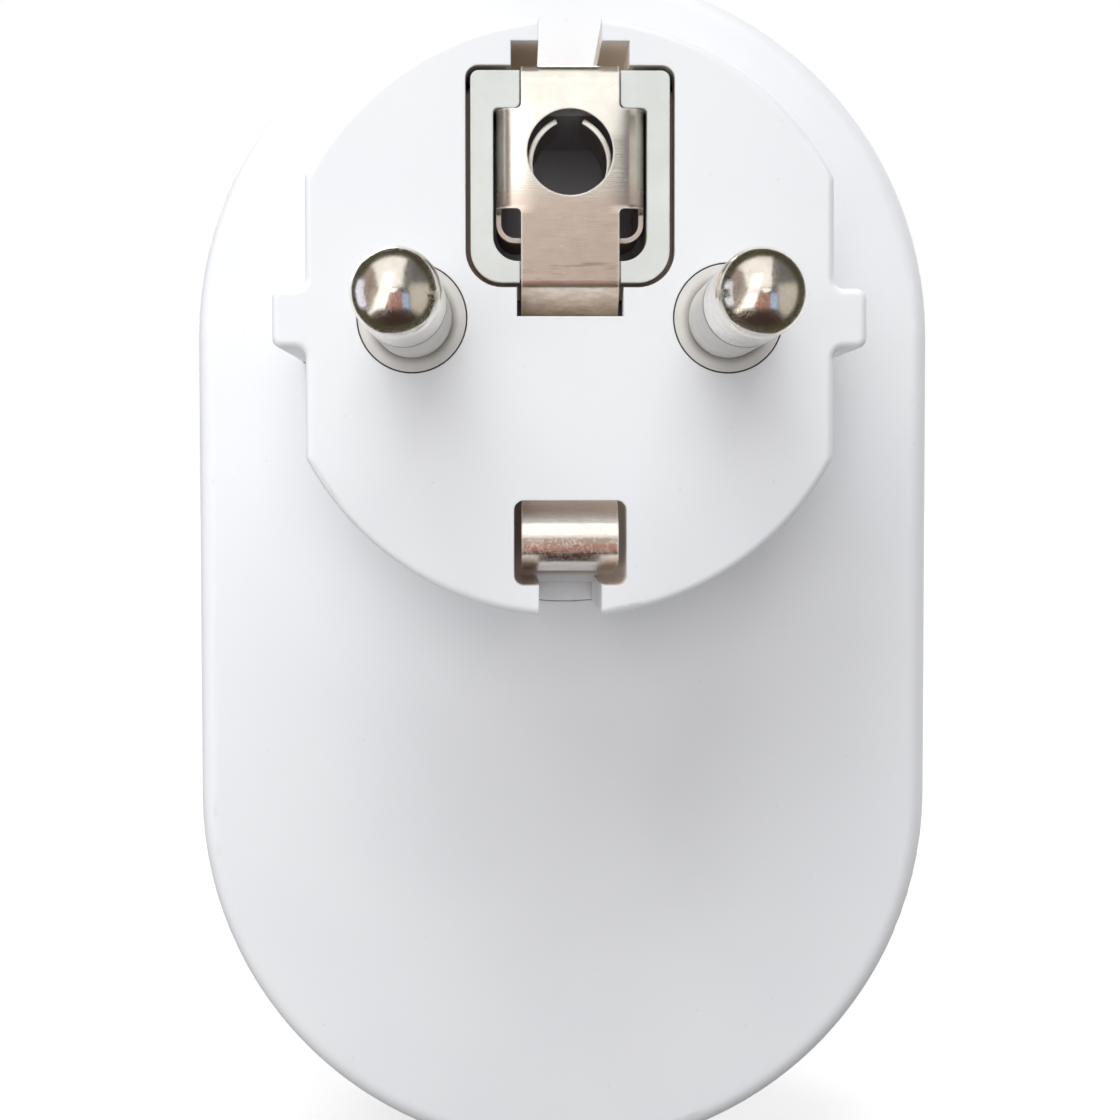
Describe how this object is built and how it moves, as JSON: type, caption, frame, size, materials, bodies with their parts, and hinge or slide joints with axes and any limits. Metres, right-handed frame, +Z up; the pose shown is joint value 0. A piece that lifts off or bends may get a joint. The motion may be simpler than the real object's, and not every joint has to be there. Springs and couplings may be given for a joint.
{
  "type": "usb plug adapter",
  "caption": "Earthed plug adapter with round pins, an outlet recess on its front face and USB charging ports below it, in one oblong white body.",
  "frame": {"origin": "centre of the plug face, midway between the two pins", "axes": "+Y runs from the plug face back to the outlet face, so the pins point to -Y; +Z is up the long side of the body; +X is to the right for someone looking at the pins"},
  "size_m": [0.05, 0.064, 0.0815],
  "materials": {
    "white_shell": "satin moulded plastic, white",
    "nickel_pin": "nickel plated brass, polished by use",
    "bush_grey": "warm grey insulating plastic",
    "frame_grey": "pale grey plastic",
    "nickel_strip": "nickel plated strip, fine rolling lines",
    "carrier_dark": "dark grey plastic",
    "contact_bronze": "copper alloy strip",
    "screw_steel": "zinc plated steel",
    "board_green": "green board lacquer",
    "port_steel": "tin plated steel",
    "port_black": "black moulded plastic",
    "port_gold": "gold plated contacts",
    "ferrite_grey": "sintered ferrite",
    "coil_tape": "yellow winding tape",
    "can_sleeve": "shrunk plastic sleeve",
    "film_yellow": "moulded box",
    "fuse_ceramic": "glazed ceramic tube with metal caps",
    "chip_black": "moulded epoxy",
    "lead_brown": "insulated wire",
    "lead_blue": "insulated wire"
  },
  "bodies": {
    "root": {"rear_housing": "white_shell", "plug_body": "white_shell", "front_cover": "white_shell", "outlet_cup": "white_shell", "usb_bezel": "white_shell", "line_pin": "nickel_pin", "neutral_pin": "nickel_pin", "line_pin_bush": "bush_grey", "neutral_pin_bush": "bush_grey", "earth_frame": "frame_grey", "earth_contact": "nickel_strip", "contact_carrier": "carrier_dark", "line_contact": "contact_bronze", "neutral_contact": "contact_bronze", "earth_bridge": "nickel_strip", "earth_post": "contact_bronze", "carrier_screws": "screw_steel", "board_screws": "screw_steel", "circuit_board": "board_green", "usb_shell_upper": "port_steel", "usb_tongue_upper": "port_black", "usb_contacts_upper": "port_gold", "usb_shell_lower": "port_steel", "usb_tongue_lower": "port_black", "usb_contacts_lower": "port_gold", "transformer_core": "ferrite_grey", "transformer_coil": "coil_tape", "input_capacitor_upper": "can_sleeve", "input_capacitor_lower": "can_sleeve", "output_capacitor": "can_sleeve", "choke_coil": "ferrite_grey", "film_capacitor": "film_yellow", "fuse": "fuse_ceramic", "bridge_rectifier": "chip_black", "control_chip": "chip_black", "optocoupler": "chip_black", "line_lead": "lead_brown", "neutral_lead": "lead_blue"}
  },
  "joints": []
}
